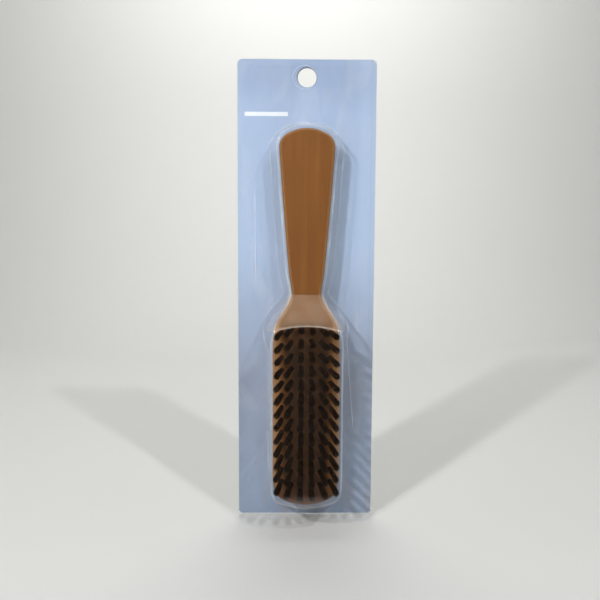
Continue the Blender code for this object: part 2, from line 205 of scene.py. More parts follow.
# Lamps: name, place, size, power, and the point it faces. Metres from the pack's middle, and watts.
LAMPS = [
    ("upper_left", (-0.53, -0.71, 0.48), 0.06, 5.8, (0.0, 0.0, 0.0)),
    ("upper_right", (0.44, -0.62, 0.63), 0.05, 3.2, (0.0, 0.0, 0.0)),
    ("overhead", (0.0, -0.1, 1.1), 0.4, 1.05, (0.0, 0.0, 0.0)),
    ("backdrop_wash", (0.0, 0.5, 0.9), 0.8, 5.2, (0.0, 1.2, 0.1)),
    ("front_wash", (0.0, -0.9, 1.2), 0.8, 13.0, (0.0, -2.4, 0.3)),
]
SKY_COLOUR = (0.93, 0.96, 1.0, 1.0)


def new_material(name):
    material = bpy.data.materials.new(name)
    material.use_nodes = True
    material.node_tree.nodes.clear()
    return material, Nodes(material.node_tree)


class Nodes:
    """Short calls for building a node tree. A socket is linked, and any other value is set."""

    def __init__(self, tree):
        self.tree = tree

    def add(self, kind, inputs=None, **settings):
        node = self.tree.nodes.new(kind)
        for key, value in settings.items():
            setattr(node, key, value)
        for key, value in (inputs or {}).items():
            if isinstance(value, bpy.types.NodeSocket):
                self.tree.links.new(value, node.inputs[key])
            else:
                node.inputs[key].default_value = value
        return node

    def math(self, operation, a, b=0.0):
        return self.add("ShaderNodeMath", {0: a, 1: b}, operation=operation).outputs[0]

    def plus(self, a, b):
        return self.math("ADD", a, b)

    def minus(self, a, b):
        return self.math("SUBTRACT", a, b)

    def times(self, a, b):
        return self.math("MULTIPLY", a, b)

    def over(self, a, b):
        return self.math("DIVIDE", a, b)

    def most(self, a, b):
        return self.math("MAXIMUM", a, b)

    def below(self, a, b):
        return self.math("LESS_THAN", a, b)

    def apart(self, a, b):
        """The distance between two numbers."""
        return self.math("ABSOLUTE", self.minus(a, b))

    def mix(self, factor, a, b):
        node = self.add("ShaderNodeMix", data_type="RGBA")
        for key, value in ((0, factor), (6, a), (7, b)):
            if isinstance(value, bpy.types.NodeSocket):
                self.tree.links.new(value, node.inputs[key])
            elif key == 0:
                node.inputs[0].default_value = value
            else:
                node.inputs[key].default_value = (*value, 1.0)
        return node.outputs[2]

    def ramp(self, factor, stops):
        node = self.add("ShaderNodeValToRGB", {0: factor})
        elements = node.color_ramp.elements
        while len(elements) < len(stops):
            elements.new(0.5)
        for element, (place, colour) in zip(elements, stops):
            element.position = place
            element.color = (*colour, 1.0)
        return node.outputs[0]

    def noise(self, vector, scale, detail=2.0, roughness=0.5, distortion=0.0):
        inputs = {"Vector": vector, "Scale": scale, "Detail": detail, "Roughness": roughness,
                  "Distortion": distortion}
        return self.add("ShaderNodeTexNoise", inputs).outputs[0]

    def span(self, value, low, high, to_low=0.0, to_high=1.0):
        inputs = {0: value, 1: low, 2: high, 3: to_low, 4: to_high}
        return self.add("ShaderNodeMapRange", inputs).outputs[0]

    def place(self):
        return self.add("ShaderNodeTexCoord").outputs["Object"]

    def stretched(self, vector, scale):
        return self.add("ShaderNodeMapping", {"Vector": vector, "Scale": scale}).outputs[0]

    def parts(self, vector):
        return self.add("ShaderNodeSeparateXYZ", {0: vector}).outputs

    def bump(self, height, strength, distance):
        inputs = {"Height": height, "Strength": strength, "Distance": distance}
        return self.add("ShaderNodeBump", inputs).outputs[0]

    def output(self, shader):
        self.add("ShaderNodeOutputMaterial", {"Surface": shader})


def srgb(red, green, blue):
    """A linear colour from 0 to 255 display values."""
    return tuple(linear(level) for level in (red, green, blue))


def linear(level):
    """One channel of srgb, by the standard's formula."""
    share = level / 255
    return share / 12.92 if level <= 10 else ((share + 0.055) / 1.055) ** 2.4


def wood_material():
    """Brown staining over close grain. Painted shade darkens it between the tufts, painted light
    makes it paler beside them, and a painted highlight makes the rim paler; it is also darker at
    the head's end."""
    material, n = new_material("stained_wood")
    place = n.place()
    grain = n.noise(n.stretched(place, (420.0, 420.0, 26.0)), 1.0, 5.0, 0.62, 0.4)
    pores = n.noise(n.stretched(place, (1500.0, 1500.0, 170.0)), 1.0, 3.0, 0.7)
    cloud = n.noise(n.stretched(place, (60.0, 60.0, 34.0)), 1.0, 2.0)
    wood_tone = n.ramp(grain, [(0.25, srgb(114, 68, 24)), (0.5, srgb(124, 76, 28)),
                           (0.78, srgb(135, 86, 36))])
    wood_tone = n.mix(n.span(pores, 0.52, 0.72, 0.0, 0.25), wood_tone, srgb(106, 62, 22))
    wood_tone = n.mix(n.span(cloud, 0.35, 0.7, 0.0, 0.2), wood_tone, srgb(140, 82, 30))
    facing = n.parts(n.add("ShaderNodeNewGeometry").outputs["Normal"])[1]
    # painted highlight: faces turned from the front, such as the rim's chamfer, are paler
    rim = n.span(facing, -0.97, -0.75)
    pale = n.mix(grain, srgb(158, 112, 68), srgb(176, 132, 88))
    x, _, z = n.parts(place)
    aside = n.math("ABSOLUTE", x)
    planted = n.times(n.span(z, *PLANTED_START_Z), n.span(z, *PLANTED_END_Z))
    # painted shade: the wood between the tufts is darkened where the tufts shade it
    between = n.times(planted, n.span(aside, *BETWEEN_X))
    wood_tone = n.mix(n.times(between, 0.6), wood_tone, srgb(48, 27, 12))
    tail = n.span(z, *TAIL_Z)
    # painted light: the wood beside the outer tufts is paler
    beside = n.times(planted, n.span(aside, *BESIDE_X))
    wood_tone = n.mix(n.times(beside, 0.7), wood_tone, pale)
    colour = n.mix(n.times(rim, 0.85), wood_tone, pale)
    colour = n.mix(n.times(tail, 0.6), colour, srgb(66, 42, 28))
    height = n.plus(n.times(grain, 0.6), n.times(pores, 0.4))
    inputs = {"Base Color": colour, "Roughness": n.span(grain, 0.3, 0.7, 0.5, 0.62),
              "Normal": n.bump(height, 0.25, 0.15 * MM), "Specular IOR Level": 0.2}
    n.output(n.add("ShaderNodeBsdfPrincipled", inputs).outputs[0])
    return material


def bristle_material():
    """Blackish brown bristle, browner where it leaves the wood."""
    material, n = new_material("bristle")
    place = n.place()
    depth = n.span(n.parts(place)[1], body_low.y, tips_low.y)
    tone = n.span(n.noise(n.stretched(place, (2400.0, 70.0, 2400.0)), 1.0, 2.0), 0.36, 0.66)
    dark = n.mix(tone, srgb(7, 4, 2), srgb(52, 32, 16))
    root = n.mix(tone, srgb(34, 19, 9), srgb(84, 52, 26))
    colour = n.mix(n.span(depth, 0.15, 0.95), root, dark)
    inputs = {"Base Color": colour, "Roughness": n.span(tone, 0.0, 1.0, 0.45, 0.6),
              "Specular IOR Level": 0.06}
    n.output(n.add("ShaderNodeBsdfPrincipled", inputs).outputs[0])
    return material


def card_material():
    """Pale blue print, with painted shade that dulls it towards the foot, a plain white bar, and a
    grey-white back.
    """
    material, n = new_material("printed_board")
    place = n.place()
    x, y, z = n.parts(place)
    height = n.span(z, card_low.z, card_high.z)
    # the print's ramp, with painted shade that darkens and greys it towards the foot
    blue = n.ramp(height, [(0.0, srgb(136, 150, 171)), (0.3, srgb(135, 141, 157)),
                           (0.6, srgb(168, 186, 212)), (0.8, srgb(163, 181, 208)),
                           (0.88, srgb(161, 179, 207)), (0.95, srgb(145, 162, 190))])
    cloud = n.noise(n.stretched(place, (26.0, 26.0, 9.0)), 1.0, 3.0, 0.55)
    blue = n.mix(n.span(cloud, 0.35, 0.7, 0.0, 0.4), blue, srgb(178, 194, 222))
    fleck = n.noise(place, 900.0, 2.0, 0.7)
    blue = n.mix(n.span(fleck, 0.4, 0.75, 0.0, 0.1), blue, srgb(200, 212, 230))
    # painted reflection: a lighter band towards the right-hand edge
    band = n.times(n.span(x, *RIGHT_BAND_X), 0.12)
    blue = n.mix(band, blue, srgb(206, 222, 244))
    line = n.below(n.apart(x, FOLD_LINE_X), FOLD_LINE_HALF_WIDTH)
    blue = n.mix(n.times(line, 0.3), blue, srgb(120, 140, 176))
    from_hole = n.math("SQRT", n.plus(n.times(x, x), n.times(z, z)))
    upper_left = n.over(n.minus(z, x), from_hole)
    # painted shade: a dark crescent round the hole's upper left
    hole_shade = n.span(from_hole, CARD_HOLE_RADIUS + 0.9 * MM, CARD_HOLE_RADIUS + 0.2 * MM)
    hole_shade = n.times(hole_shade, n.span(upper_left, 0.1, 1.1, 0.15, 0.8))
    blue = n.mix(hole_shade, blue, srgb(84, 86, 96))
    margin = n.below(n.minus(z, BOTTOM_Z), FOOT_MARGIN)
    bar_x = n.below(n.apart(x, BAR_CENTRE.x), BAR_SIZE.x / 2)
    bar_z = n.below(n.apart(z, BAR_CENTRE.y), BAR_SIZE.y / 2)
    white = n.most(margin, n.times(bar_x, bar_z))
    printed = n.mix(white, blue, srgb(232, 236, 240))
    facing = n.parts(n.add("ShaderNodeNewGeometry").outputs["Normal"])[1]
    front = n.below(facing, -0.5)
    fibre = n.noise(n.stretched(place, (700.0, 700.0, 300.0)), 1.0, 4.0, 0.7)
    board = n.mix(fibre, srgb(196, 194, 188), srgb(220, 218, 212))
    # painted shade on the hole's inner wall
    near_hole = n.span(from_hole, CARD_HOLE_RADIUS + 0.3 * MM, CARD_HOLE_RADIUS + 0.1 * MM)
    inside = n.times(near_hole, n.below(n.math("ABSOLUTE", facing), 0.5))
    board = n.mix(inside, board, srgb(96, 98, 106))
    colour = n.mix(front, board, printed)
    roughness = n.minus(0.75, n.times(front, 0.3))
    inputs = {"Base Color": colour, "Roughness": roughness,
              "Normal": n.bump(fibre, 0.12, 0.05 * MM), "Specular IOR Level": 0.3}
    n.output(n.add("ShaderNodeBsdfPrincipled", inputs).outputs[0])
    return material


def film_material():
    """Clear thin plastic. It shines by its angle and in small ripples. It carries painted
    highlights round the bends, as the mesh's bend attribute says, and painted reflections on the
    slope and at the end."""
    material, n = new_material("clear_film")
    place = n.place()
    ripple = n.noise(n.stretched(place, (75.0, 75.0, 45.0)), 1.0, 3.0, 0.5)
    scuff = n.noise(n.stretched(place, (900.0, 900.0, 260.0)), 1.0, 3.0, 0.7)
    streak = n.noise(n.stretched(place, (160.0, 160.0, 60.0)), 1.0, 3.0, 0.6)
    bend = n.add("ShaderNodeAttribute", attribute_name="bend").outputs["Fac"]
    normal = n.bump(ripple, 0.35, 0.35 * MM)
    roughness = n.span(scuff, 0.35, 0.75, 0.05, 0.14)
    clear = n.add("ShaderNodeBsdfTransparent", {"Color": (0.985, 0.99, 0.995, 1.0)}).outputs[0]
    gloss = n.add("ShaderNodeBsdfGlossy", {"Color": (1.0, 1.0, 1.0, 1.0), "Roughness": roughness,
                                           "Normal": normal}).outputs[0]
    slant = n.add("ShaderNodeLayerWeight", {"Blend": 0.5, "Normal": normal}).outputs["Facing"]
    mirror = n.plus(0.003, n.times(0.7, n.math("POWER", slant, 4.5)))
    mirror = n.plus(mirror, n.times(bend, 0.05))
    x, y, z = n.parts(place)
    fade = n.span(z, END_START_Z, END_REFLECTION_Z[1], 1.0, 0.2)
    # painted highlight along the bends, streaky
    white_lines = n.times(bend, n.span(streak, 0.35, 0.62, BEND_HIGHLIGHT * 0.3, BEND_HIGHLIGHT))
    white_lines = n.times(white_lines, fade)
    centre = (FILM_HOLE_SHIFT, FLANGE_Y, 0.0)
    from_centre = n.add("ShaderNodeVectorMath", {0: place, 1: centre},
                        operation="DISTANCE").outputs["Value"]
    rim = n.span(n.apart(from_centre, FILM_HOLE_RADIUS), 0.5 * MM, 0.0)
    white_lines = n.most(white_lines, n.times(rim, RIM_HAZE))
    # painted reflection lines
    for glint in GLINT_LINES:
        white_lines = n.most(white_lines, painted_glint_line(n, place, streak, *glint))
    top = n.below(y, -(HANDLE_DOME - 2 * MM))
    # slope runs from 0 at the ramp's step to 1 at its crest
    bow = n.times(n.times(x, x), RAMP_BOW / HEAD_HALF_WIDTH**2)
    slope = n.over(n.minus(RAMP_TOP_Z, z), n.plus(bow, RAMP_TOP_Z - RAMP_FOOT_Z))
    on_slope = n.times(n.span(slope, -0.02, 0.04, 0.0, 0.8), n.span(slope, 1.04, 0.98))
    # painted highlight lines at the slope's crest and step, and painted reflection over the slope
    crest = n.span(n.apart(slope, 1.0), 0.04, 0.0)
    step = n.span(n.math("ABSOLUTE", slope), 0.05, 0.0)
    lines = n.plus(n.times(crest, BEND_HIGHLIGHT * 0.6), n.times(step, BEND_HIGHLIGHT * 0.12))
    patches = n.span(streak, 0.3, 0.7, SLOPE_REFLECTION * 0.5, SLOPE_REFLECTION)
    slope_reflected = n.plus(lines, n.times(on_slope, patches))
    slope_reflected = n.times(slope_reflected, top)
    # painted reflection over the dome's end
    at_end = n.span(z, *END_REFLECTION_Z)
    end_reflected = n.times(at_end, END_REFLECTION)
    end_reflected = n.times(end_reflected, n.span(y, FLANGE_Y - 1 * MM, FLANGE_Y - 3 * MM))
    tint = n.mix(n.times(on_slope, top), (0.86, 0.9, 0.95), (0.94, 0.66, 0.4))
    tint = n.mix(at_end, tint, (0.75, 0.6, 0.52))
    # a white layer, lit by the lamps, that carries the painted highlights and reflections
    painted_layer = n.add("ShaderNodeBsdfDiffuse", {"Color": tint, "Normal": normal}).outputs[0]
    sheen = n.noise(n.stretched(place, (64.0, 64.0, 30.0)), 1.0, 4.0, 0.55, 1.2)
    sheen = n.span(sheen, 0.5, 0.68, 0.0, SHEEN)
    sheen = n.times(sheen, n.span(y, FLANGE_Y - 2 * MM, FLANGE_Y))
    veil = n.plus(n.span(scuff, 0.3, 0.8, 0.0, 0.001), n.plus(white_lines, sheen))
    veil = n.plus(veil, n.most(slope_reflected, end_reflected))
    body = n.add("ShaderNodeMixShader", {0: veil, 1: clear, 2: painted_layer}).outputs[0]
    n.output(n.add("ShaderNodeMixShader", {0: mirror, 1: body, 2: gloss}).outputs[0])
    return material


def painted_glint_line(n, place, streak, start_x, start_z, end_x, end_z):
    """A painted reflection line on the film: its whiteness, between two points."""
    x, _, z = n.parts(place)
    share = n.over(n.minus(z, start_z), end_z - start_z)
    middle = n.plus(start_x, n.times(share, end_x - start_x))
    near = n.span(n.apart(x, middle), GLINT_WIDTH, 0.0)
    ends = n.times(n.span(share, 0.0, 0.15), n.span(share, 1.0, 0.85))
    return n.times(n.times(near, ends), n.span(streak, 0.3, 0.6, 0.1, GLINT_WHITE))


def film_edge_material():
    """The film's cut edges, which look white."""
    material, n = new_material("film_edge")
    scuff = n.noise(n.stretched(n.place(), (900.0, 900.0, 260.0)), 1.0, 3.0, 0.7)
    clear = n.add("ShaderNodeBsdfTransparent", {"Color": (0.97, 0.98, 0.99, 1.0)}).outputs[0]
    inputs = {"Base Color": (0.86, 0.9, 0.94, 1.0), "Roughness": n.span(scuff, 0.3, 0.7, 0.2, 0.4)}
    white = n.add("ShaderNodeBsdfPrincipled", inputs).outputs[0]
    share = n.span(scuff, 0.3, 0.7, 0.3, 0.6)
    n.output(n.add("ShaderNodeMixShader", {0: share, 1: clear, 2: white}).outputs[0])
    return material


def steel_material():
    material, n = new_material("anchor_steel")
    place = n.place()
    draw = n.noise(n.stretched(place, (100.0, 2500.0, 2500.0)), 1.0, 2.0)
    colour = n.mix(draw, srgb(150, 150, 148), srgb(190, 190, 186))
    inputs = {"Base Color": colour, "Metallic": 1.0, "Roughness": n.span(draw, 0.3, 0.7, 0.3, 0.45)}
    n.output(n.add("ShaderNodeBsdfPrincipled", inputs).outputs[0])
    return material


def floor_material():
    material, n = new_material("pale_floor")
    colour = srgb(222, 222, 219)
    grain = n.noise(n.place(), 30.0, 2.0)
    tone = n.mix(n.span(grain, 0.3, 0.7, 0.0, 0.05), colour, tuple(0.9 * c for c in colour))
    inputs = {"Base Color": tone, "Roughness": 0.7}
    n.output(n.add("ShaderNodeBsdfPrincipled", inputs).outputs[0])
    return material


def smooth_through(points, steps):
    """Points on a Catmull-Rom curve through a list of points."""
    ends = [points[0]] + list(points) + [points[-1]]
    path = []
    for a, b, c, d in zip(ends, ends[1:], ends[2:], ends[3:]):
        for k in range(steps):
            t = k / steps
            cubic = 2 * a - 5 * b + 4 * c - d + t * (3 * (b - c) + d - a)
            path.append(b + 0.5 * t * (c - a + t * cubic))
    path.append(points[-1])
    return path


def half_outline():
    """Points of the brush's half outline with their outward normals, from butt to head end."""
    points = smooth_through([Vector((x * MM, z * MM)) for x, z in BRUSH_OUTLINE], OUTLINE_STEPS)
    before = [Vector((-points[1].x, points[1].y))] + points[:-1]
    after = points[1:] + [Vector((-points[-2].x, points[-2].y))]
    pairs = []
    for point, a, b in zip(points, before, after):
        along = (b - a).normalized()
        pairs.append((point, Vector((-along.y, along.x))))
    pairs[0] = (points[0], Vector((0.0, 1.0)))
    pairs[-1] = (points[-1], Vector((0.0, -1.0)))
    return pairs


def mesh_object(name, mesh, material):
    piece = bpy.data.objects.new(name, mesh)
    bpy.context.scene.collection.objects.link(piece)
    mesh.materials.append(material)
    return piece


def mesh_of(name, points, faces):
    mesh = bpy.data.meshes.new(name)
    mesh.from_pydata([tuple(p) for p in points], [], faces)
    mesh.shade_smooth()
    return mesh


def weld(mesh, reach):
    """Joins points within reach of each other and turns every face outwards."""
    bm = bmesh.new()
    bm.from_mesh(mesh)
    bmesh.ops.remove_doubles(bm, verts=bm.verts, dist=reach)
    bmesh.ops.dissolve_degenerate(bm, dist=reach / 10, edges=bm.edges)
    bmesh.ops.recalc_face_normals(bm, faces=bm.faces)
    bm.to_mesh(mesh)
    bm.free()
    mesh.shade_smooth()


def applied(piece):
    """Turns a piece's modifiers into its mesh."""
    evaluated = piece.evaluated_get(bpy.context.evaluated_depsgraph_get())
    mesh = bpy.data.meshes.new_from_object(evaluated)
    piece.modifiers.clear()
    piece.data = mesh


def cut(piece, cutter):
    """Cuts a piece by another, which is then removed."""
    modifier = piece.modifiers.new("cut", "BOOLEAN")
    modifier.operation = "DIFFERENCE"
    modifier.solver = "EXACT"
    modifier.object = cutter
    bpy.context.view_layer.update()
    applied(piece)
    bpy.data.objects.remove(cutter)


def soft_clamp(value, low, high, bend):
    """value held between low and high, with a rounded corner at each."""
    value = low + soft_positive(value - low, bend)
    return high - soft_positive(high - value, bend)


def soft_positive(value, bend):
    """value where it is positive and nothing elsewhere, with a rounded corner between."""
    return 0.5 * (value + math.sqrt(value * value + bend * bend))


def dome_height(x, z):
    """Height of the dome's top: low over the handle, sloped at the shoulder, tall over the head."""
    bow = RAMP_BOW * (x / HEAD_HALF_WIDTH) ** 2
    rise = (HEAD_DOME - HANDLE_DOME) / (RAMP_TOP_Z - RAMP_FOOT_Z + bow)
    height = HANDLE_DOME + (RAMP_TOP_Z - z) * rise
    return soft_clamp(height, HANDLE_DOME, HEAD_DOME, RAMP_BEND)


def dome_point(point, normal, handle_growth, head_growth, end_z):
    """A point of the brush's outline moved out to a contour of the dome."""
    if point.y > HEAD_START_Z:
        share = min(max((HANDLE_END_Z - point.y) / (HANDLE_END_Z - HEAD_START_Z), 0.0), 1.0)
        return point + normal * (handle_growth + (head_growth - handle_growth) * share)
    z = point.y
    if z < END_START_Z:
        z = END_START_Z + (z - END_START_Z) * (END_START_Z - end_z) / (END_START_Z - HEAD_END_Z)
    return Vector((point.x * (1 + head_growth / HEAD_HALF_WIDTH), z))


def bezier(a, b, c, steps):
    """Points on a quadratic curve from a to c, pulled towards b."""
    path = []
    for k in range(steps + 1):
        t = k / steps
        path.append(a * (1 - t) ** 2 + b * (2 * t * (1 - t)) + c * t**2)
    return path


def flange_edge(share):
    """A point of the flange's right-hand edge, from the top's middle to the foot's middle."""
    half = HALF_WIDTH - FOLD_RADIUS
    low = BOTTOM_Z + FOLD_RADIUS
    lengths = (half, TOP_Z - low, half)
    walk = share * sum(lengths)
    if walk < lengths[0]:
        return Vector((walk, TOP_Z))
    walk -= lengths[0]
    if walk < lengths[1]:
        return Vector((half, TOP_Z - walk))
    return Vector((half - (walk - lengths[1]), low))


def raised(point, height):
    """A point of the pack's plane, brought forward by a height."""
    return Vector((point.x, -height, point.y))


def film_section(point, normal, share):
    """One line of film from the flange's edge over the dome's wall and bends to the axis. Each of
    its points comes with the share of painted highlight it carries there."""
    shoulder = math.sin(math.pi * min(max((SHOULDER_TOP_Z - point.y) / SHOULDER_SPAN, 0.0), 1.0))
    swell = SHOULDER_SWELL * shoulder * min(1.0, point.x / HEAD_HALF_WIDTH)
    base = dome_point(point, normal, BASE_AT_HANDLE, BASE_AT_HEAD, FOOT_Z) + normal * swell
    top = dome_point(point, normal, TOP_AT_HANDLE, TOP_AT_HEAD, DOME_END_Z)
    inner = dome_point(point, normal, TOP_AT_HANDLE - DOME_BEND, TOP_AT_HEAD - DOME_BEND,
                       DOME_END_Z + DOME_BEND)
    inner.x = max(inner.x, 0.0)
    away = (base - top).normalized() * BASE_FILLET
    edge = flange_edge(share)
    flange = -FLANGE_Y
    start = raised(base + away, flange)
    corner = raised(base, flange)
    crest = raised(top, dome_height(top.x, top.y))
    after = raised(inner, dome_height(inner.x, inner.y))
    wall = crest - corner
    low = corner + wall.normalized() * BASE_FILLET
    high = crest - wall.normalized() * DOME_BEND
    line = []
    for k in range(FLANGE_STEPS):
        line.append((raised(edge + (base + away - edge) * k / FLANGE_STEPS, flange), 0.0))
    line += list(zip(bezier(start, corner, low, len(BASE_BENDS) - 1), BASE_BENDS))
    line += [(low.lerp(high, k / WALL_STEPS), WALL_HIGHLIGHT) for k in range(1, WALL_STEPS)]
    line += list(zip(bezier(high, crest, after, len(TOP_BENDS) - 1), TOP_BENDS))
    for k in range(1, TOP_STEPS + 1):
        x = inner.x * (1 - k / TOP_STEPS)
        line.append((raised(Vector((x, inner.y)), dome_height(x, inner.y)), 0.0))
    return line


def film_sheet():
    """The film as one open sheet: flange, domes and the folds behind the card."""
    outline = half_outline()
    shares = edge_shares(outline)
    lines = []
    for (point, normal), share in zip(outline, shares):
        right = film_section(point, normal, share)
        left = [(Vector((-p.x, p.y, p.z)), bend) for p, bend in reversed(right[:-1])]
        lines.append(right + left)
    width = len(lines[0])
    points = [p for line in lines for p, _ in line]
    bends = [bend for line in lines for _, bend in line]
    faces = []
    for i in range(len(lines) - 1):
        for j in range(width - 1):
            a = i * width + j
            faces.append((a, a + 1, a + width + 1, a + width))
    mesh = mesh_of("blister_film", points, faces)
    mesh.attributes.new("bend", "FLOAT", "POINT").data.foreach_set("value", bends)
    weld(mesh, 0.02 * MM)
    fold_edges(mesh)
    return mesh


def edge_shares(outline):
    """Where each outline point's line meets the flange's edge, as a share of the edge's length."""
    half = HALF_WIDTH - FOLD_RADIUS
    total = 2 * half + TOP_Z - BOTTOM_Z - FOLD_RADIUS
    widest = 0
    while outline[widest + 1][0].x >= outline[widest][0].x:
        widest += 1
    corner = next(i for i, (point, _) in enumerate(outline) if point.y < END_START_Z)
    side_top = outline[widest][0].y
    side_foot = outline[corner][0].y
    shares = []
    for i, (point, _) in enumerate(outline):
        if i < widest:
            walk = half * (i / widest)
        elif i < corner:
            walk = half + (side_top - point.y) / (side_top - side_foot) * (total - 2 * half)
        else:
            walk = total - half * (1 - (i - corner) / (len(outline) - 1 - corner))
        shares.append(walk / total)
    return shares


def fold_profile():
    """How the folded edge runs from the flange: outward shift and depth."""
    r = FOLD_RADIUS
    deep = REAR_Y - FLANGE_Y
    turn = deep / 2
    path = []
    for k in range(1, FOLD_STEPS + 1):
        angle = math.pi * k / FOLD_STEPS
        path.append((r * math.sin(angle), turn * (1 - math.cos(angle))))
    path.append((-RAIL_REACH / 2, deep))
    path.append((r - RAIL_REACH, deep))
    return path


def fold_edges(mesh):
    """Extrudes the sheet's side and foot edges round behind the card, then shapes its corners and
    its hang hole."""
    bm = bmesh.new()
    bm.from_mesh(mesh)
    half = HALF_WIDTH - FOLD_RADIUS
    low = BOTTOM_Z + FOLD_RADIUS
    foot_half = HALF_WIDTH - RAIL_REACH - FOLD_RELIEF
    sides = [
        (lambda v: v.co.x > half - NEAR, Vector((1, 0, 0))),
        (lambda v: v.co.x < -half + NEAR, Vector((-1, 0, 0))),
        (lambda v: v.co.z < low + NEAR and abs(v.co.x) < foot_half, Vector((0, 0, -1))),
    ]
    for test, outward in sides:
        edges = [e for e in bm.edges if e.is_boundary and all(test(v) for v in e.verts)]
        before = (0.0, 0.0)
        for step in fold_profile():
            made = bmesh.ops.extrude_edge_only(bm, edges=edges)["geom"]
            verts = [g for g in made if isinstance(g, bmesh.types.BMVert)]
            edges = [g for g in made if isinstance(g, bmesh.types.BMEdge)]
            shift = outward * (step[0] - before[0]) + Vector((0, step[1] - before[1], 0))
            bmesh.ops.translate(bm, vec=shift, verts=verts)
            before = step
    round_corners(bm)
    open_hole(bm)
    bmesh.ops.recalc_face_normals(bm, faces=bm.faces)
    bm.to_mesh(mesh)
    bm.free()
    mesh.shade_smooth()


def open_hole(bm):
    """Opens the film's hang hole: the flange's faces round it give way to a ring of new ones."""
    centre = Vector((FILM_HOLE_SHIFT, FLANGE_Y, 0.0))
    reach = FILM_HOLE_RADIUS + HOLE_MARGIN
    given_up = []
    for face in bm.faces:
        xs = [v.co.x for v in face.verts]
        zs = [v.co.z for v in face.verts]
        aside = centre.x - min(max(centre.x, min(xs)), max(xs))
        above = centre.z - min(max(centre.z, min(zs)), max(zs))
        on_flange = face.calc_center_median().y < FLANGE_Y + NEAR
        if on_flange and math.hypot(aside, above) < reach:
            given_up.append(face)
    border = {e for f in given_up for e in f.edges if sum(g in given_up for g in e.link_faces) == 1}
    bmesh.ops.delete(bm, geom=given_up, context="FACES_ONLY")
    inside = [e for e in bm.edges if not e.link_faces and e not in border]
    bmesh.ops.delete(bm, geom=inside, context="EDGES")
    ring = []
    for k in range(HOLE_STEPS):
        angle = 2 * math.pi * k / HOLE_STEPS
        outward = Vector((math.cos(angle), 0.0, math.sin(angle)))
        ring.append(bm.verts.new(centre + outward * FILM_HOLE_RADIUS))
    rim = [bm.edges.new((a, b)) for a, b in zip(ring, ring[1:] + ring[:1])]
    bmesh.ops.triangle_fill(bm, edges=list(border) + rim, use_beauty=True, normal=(0.0, -1.0, 0.0))


def round_corners(bm):
    """Pulls the sheet's vertices inside the pack's rounded corners."""
    for vert in bm.verts:
        past = abs(vert.co.x) - (HALF_WIDTH - CORNER_RADIUS)
        if past <= 0:
            continue
        drop = CORNER_RADIUS - math.sqrt(max(CORNER_RADIUS**2 - past**2, 0.0))
        vert.co.z = min(max(vert.co.z, BOTTOM_Z + drop), TOP_Z - drop)


def cylinder(name, start, direction, length, radius, sides):
    bm = bmesh.new()
    turn = direction.to_track_quat("Z", "Y").to_matrix().to_4x4()
    place = Matrix.Translation(start + direction * length / 2) @ turn
    bmesh.ops.create_cone(bm, cap_ends=True, segments=sides, radius1=radius, radius2=radius,
                          depth=length, matrix=place)
    mesh = bpy.data.meshes.new(name)
    bm.to_mesh(mesh)
    bm.free()
    return mesh


def rounded_outline(half, low, high, radius):
    """A rectangle with round corners, anticlockwise from the right-hand side's top."""
    points = []
    corners = ((1, high - radius), (-1, high - radius), (-1, low + radius), (1, low + radius))
    for turn, (side, z) in enumerate(corners):
        for k in range(CORNER_STEPS + 1):
            angle = math.radians(90 * turn + 90 * k / CORNER_STEPS)
            x = side * (half - radius) + radius * math.cos(angle)
            points.append((x, z + radius * math.sin(angle)))
    return points


def make_card():
    """The printed card, a little wider than its CAD node so that it fills the thin film's folds."""
    curve = bpy.data.curves.new("printed_card", "CURVE")
    curve.dimensions = "2D"
    curve.fill_mode = "BOTH"
    curve.extrude = (card_high.y - card_low.y) / 2 - CARD_EDGE_ROUND
    curve.bevel_depth = CARD_EDGE_ROUND
    curve.bevel_resolution = 2
    side = HALF_WIDTH - FILM - CARD_CLEARANCE
    low = BOTTOM_Z + FILM + CARD_CLEARANCE
    turns = [2 * math.pi * k / CARD_HOLE_STEPS for k in range(CARD_HOLE_STEPS)]
    ring = [(CARD_HOLE_RADIUS * math.cos(t), CARD_HOLE_RADIUS * math.sin(t)) for t in turns]
    border = rounded_outline(side, low, TOP_Z - CARD_EDGE_ROUND, CORNER_RADIUS - FILM)
    for points in (border, ring):
        spline = curve.splines.new("POLY")
        spline.points.add(len(points) - 1)
        for knot, (x, z) in zip(spline.points, points):
            knot.co = (x, z, 0.0, 1.0)
        spline.use_cyclic_u = True
    flat = bpy.data.objects.new("printed_card", curve)
    bpy.context.scene.collection.objects.link(flat)
    bpy.context.view_layer.update()
    evaluated = flat.evaluated_get(bpy.context.evaluated_depsgraph_get())
    mesh = bpy.data.meshes.new_from_object(evaluated)
    bpy.data.objects.remove(flat)
    middle = Matrix.Translation((0, (card_low.y + card_high.y) / 2, 0))
    mesh.transform(middle @ Matrix.Rotation(math.radians(90), 4, "X"))
    weld(mesh, 0.005 * MM)
    mesh.set_sharp_from_angle(angle=SHARP_ANGLE)
    card = mesh_object("printed_card", mesh, card_material())
    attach(card, "card")
    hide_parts("backing_card")


def make_film():
    """The clear blister, with its thickness and white cut edges."""
    film = mesh_object("blister_film", film_sheet(), film_material())
    thick = film.modifiers.new("thickness", "SOLIDIFY")
    thick.thickness = FILM
    thick.offset = -1.0
    film.data.materials.append(film_edge_material())
    thick.material_offset_rim = 1
    bpy.context.view_layer.update()
    applied(film)
    film.data.set_sharp_from_angle(angle=FILM_SHARP_ANGLE)
    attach(film, "blister")
    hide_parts("blister_shell")


def body_ring(outline, inset, y):
    """The brush's outline moved inwards, as a whole ring."""
    half = []
    for point, normal in outline:
        shift = min(inset, 0.5 * max(point.x, TIP_WIDTH))
        moved = point - normal * shift
        half.append(Vector((max(moved.x, 0.0), y, moved.y)))
    return half + [Vector((-p.x, p.y, p.z)) for p in reversed(half[1:-1])]


